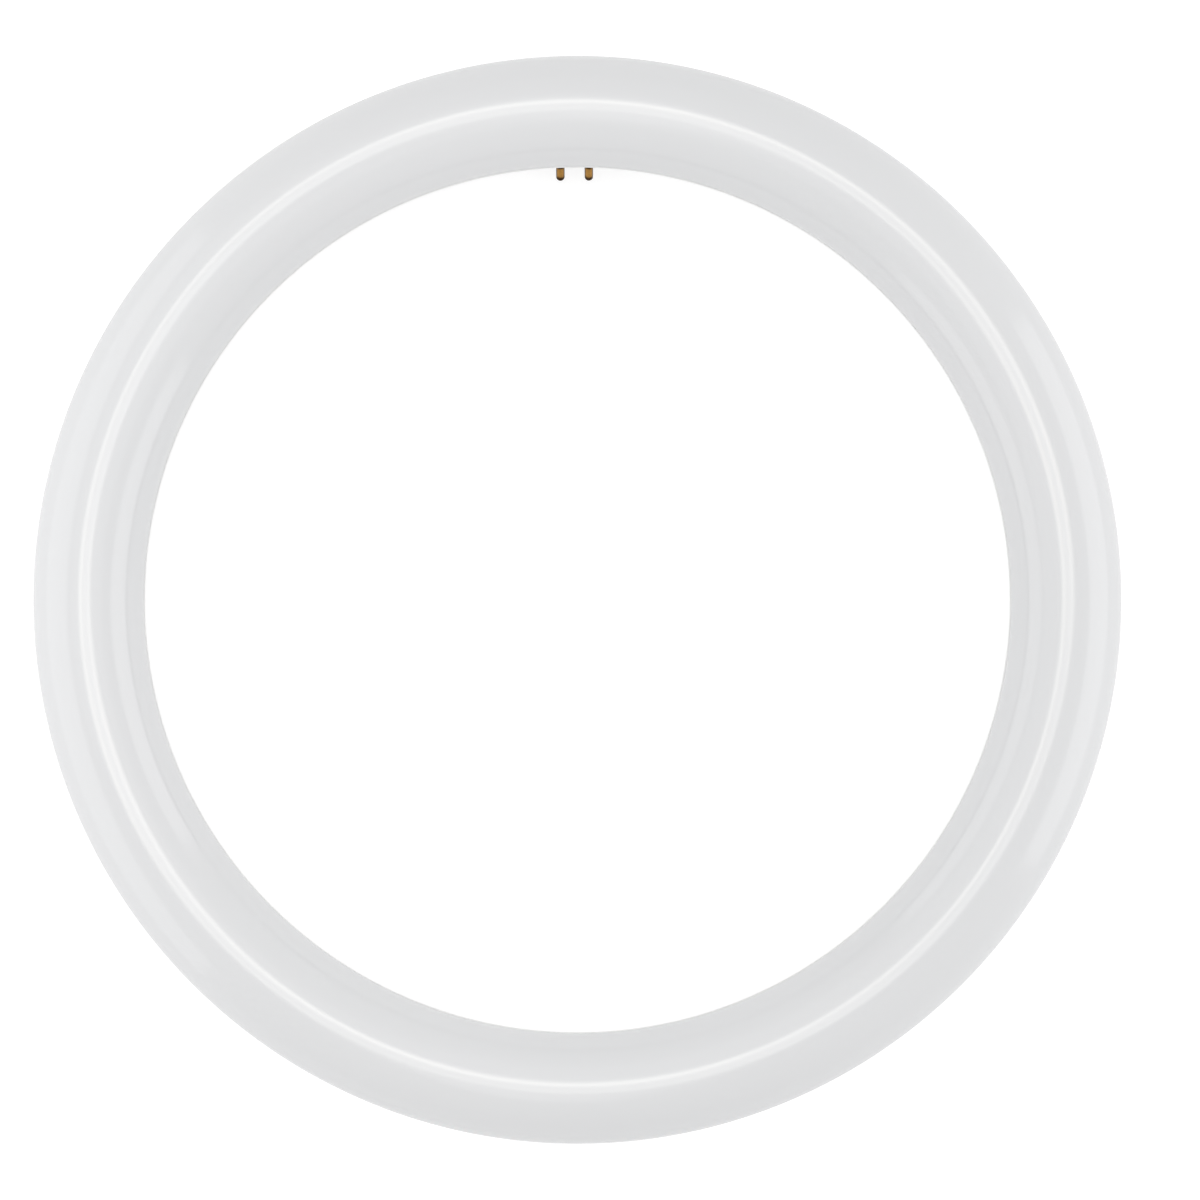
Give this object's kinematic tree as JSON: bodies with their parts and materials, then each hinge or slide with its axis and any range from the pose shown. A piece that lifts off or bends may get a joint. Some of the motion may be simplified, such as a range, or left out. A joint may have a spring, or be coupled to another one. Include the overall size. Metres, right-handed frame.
{
  "type": "circular led tube",
  "caption": "Ring-shaped LED tube with a milky diffuser clipped on a white housing and a four-pin base on its inner side.",
  "frame": {"origin": "centre of the ring, at the middle of the tube's thickness", "axes": "+Z out of the light face along the ring's axis, +Y towards the pin base, +X to the right when the light face is seen with the base at the top"},
  "size_m": [0.3, 0.3, 0.0342],
  "materials": {
    "opal": "glossy milky polycarbonate",
    "housing": "glossy white plastic",
    "base_plastic": "satin white plastic",
    "brass": "turned brass, a little tarnished at the tips",
    "steel": "zinc plated steel",
    "board_metal": "aluminium board under white solder mask",
    "led_body": "white package with yellow phosphor",
    "board_laminate": "glass laminate",
    "insulating_film": "clear polyester film",
    "epoxy": "black moulded epoxy",
    "coated_part": "dipped coating",
    "can_sleeve": "shrunk sleeve over aluminium",
    "ferrite": "sintered ferrite",
    "copper": "enamelled copper wire",
    "lead_sleeve": "silicone insulation",
    "tinned_wire": "tinned copper wire"
  },
  "bodies": {
    "root": {"diffuser": "opal", "rear_housing": "housing", "base_block": "base_plastic", "pin_retainer": "base_plastic", "contact_pin_front_left": "brass", "contact_pin_front_right": "brass", "contact_pin_back_left": "brass", "contact_pin_back_right": "brass", "pin_strap_left": "brass", "pin_strap_right": "brass", "base_screws": "steel", "board_screws": "steel", "led_board_1": "board_metal", "led_board_2": "board_metal", "led_board_3": "board_metal", "led_board_4": "board_metal", "leds_1": "led_body", "leds_2": "led_body", "leds_3": "led_body", "leds_4": "led_body", "driver_board": "board_laminate", "driver_insulator": "insulating_film", "bridge_rectifier": "epoxy", "driver_chip": "epoxy", "output_diode": "epoxy", "chip_resistors": "epoxy", "fuse_resistor": "coated_part", "varistor": "coated_part", "film_capacitor": "coated_part", "input_capacitor": "can_sleeve", "output_capacitor": "can_sleeve", "filter_inductor_core": "ferrite", "power_inductor_core": "ferrite", "filter_inductor_winding": "copper", "power_inductor_winding": "copper", "lead_live": "lead_sleeve", "lead_neutral": "lead_sleeve", "lead_led_positive": "lead_sleeve", "lead_led_negative": "lead_sleeve", "board_jumpers": "tinned_wire"}
  },
  "joints": []
}
